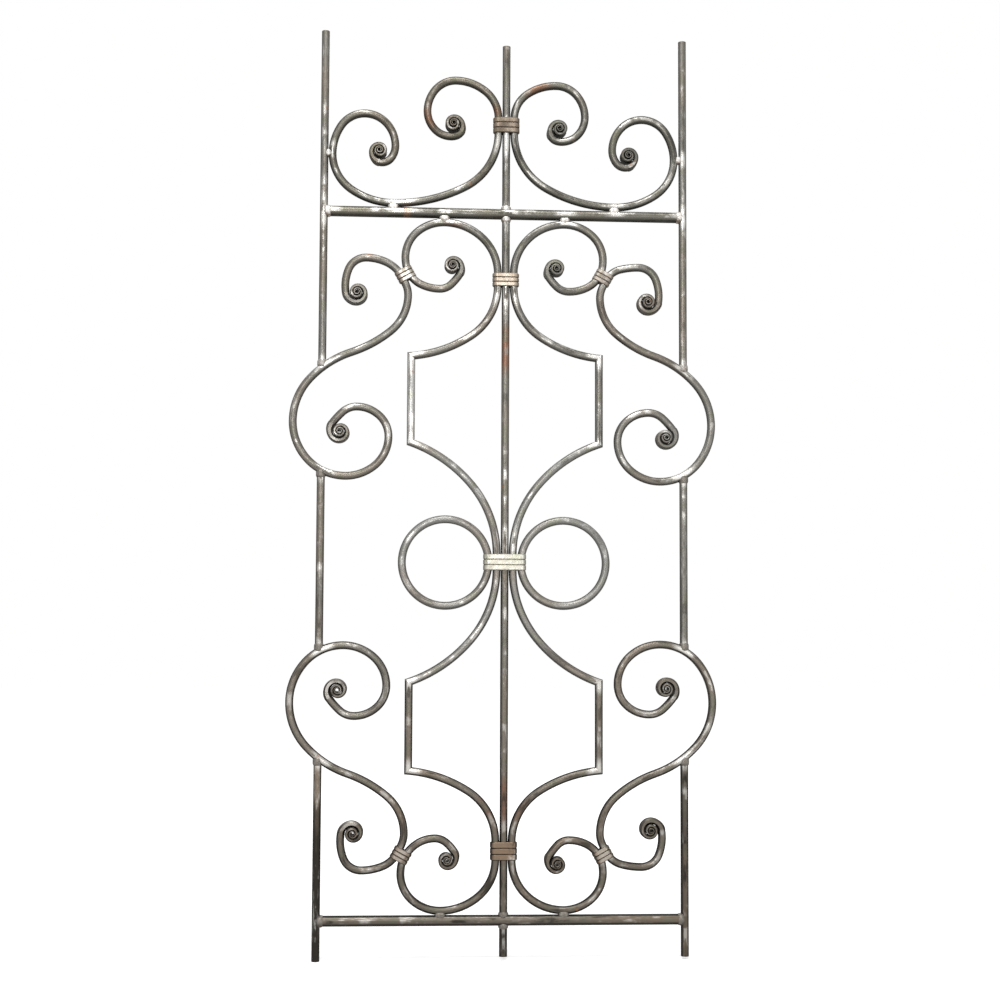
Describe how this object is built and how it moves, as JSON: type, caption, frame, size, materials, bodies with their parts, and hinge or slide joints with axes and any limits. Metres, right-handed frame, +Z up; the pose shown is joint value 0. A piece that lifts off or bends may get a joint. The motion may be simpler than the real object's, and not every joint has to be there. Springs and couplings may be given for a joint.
{
  "type": "wrought iron grille panel",
  "caption": "Tall openwork iron panel of round bar, with rolled scrolls, rings and ribbed collars between two rails and three uprights.",
  "frame": {"origin": "the cut end of the centre bar's foot, on that bar's axis", "axes": "+X to the right of the front, +Z up along the centre bar, the bars' axes in the plane Y = 0, and -Y towards the viewer"},
  "size_m": [0.6482, 0.028, 1.4035],
  "materials": {
    "iron": "bare forged iron, brushed in places and dull",
    "collar_iron": "bare forged iron, rubbed bright on the ribs",
    "weld_iron": "weld metal, dark, lumpy and not dressed"
  },
  "bodies": {
    "root": {"bottom_rail": "iron", "bottom_rail_welds": "weld_iron", "centre_bar": "iron", "centre_foot": "iron", "centre_head": "iron", "crown_collar": "collar_iron", "left_crown_scroll": "iron", "left_middle_bow": "iron", "left_ring": "iron", "left_stile_foot": "iron", "left_stile_head": "iron", "left_stile_middle": "iron", "left_stile_welds": "weld_iron", "lower_inner_collar": "collar_iron", "lower_left_inner_scroll": "iron", "lower_left_link": "iron", "lower_left_side_scroll": "iron", "lower_left_twin_collar": "collar_iron", "lower_right_inner_scroll": "iron", "lower_right_link": "iron", "lower_right_side_scroll": "iron", "lower_right_twin_collar": "collar_iron", "middle_collar": "collar_iron", "right_crown_scroll": "iron", "right_middle_bow": "iron", "right_ring": "iron", "right_stile_foot": "iron", "right_stile_head": "iron", "right_stile_middle": "iron", "right_stile_welds": "weld_iron", "top_rail": "iron", "top_rail_welds": "weld_iron", "upper_inner_collar": "collar_iron", "upper_left_inner_scroll": "iron", "upper_left_link": "iron", "upper_left_side_scroll": "iron", "upper_left_twin_collar": "collar_iron", "upper_right_inner_scroll": "iron", "upper_right_link": "iron", "upper_right_side_scroll": "iron", "upper_right_twin_collar": "collar_iron"}
  },
  "joints": []
}
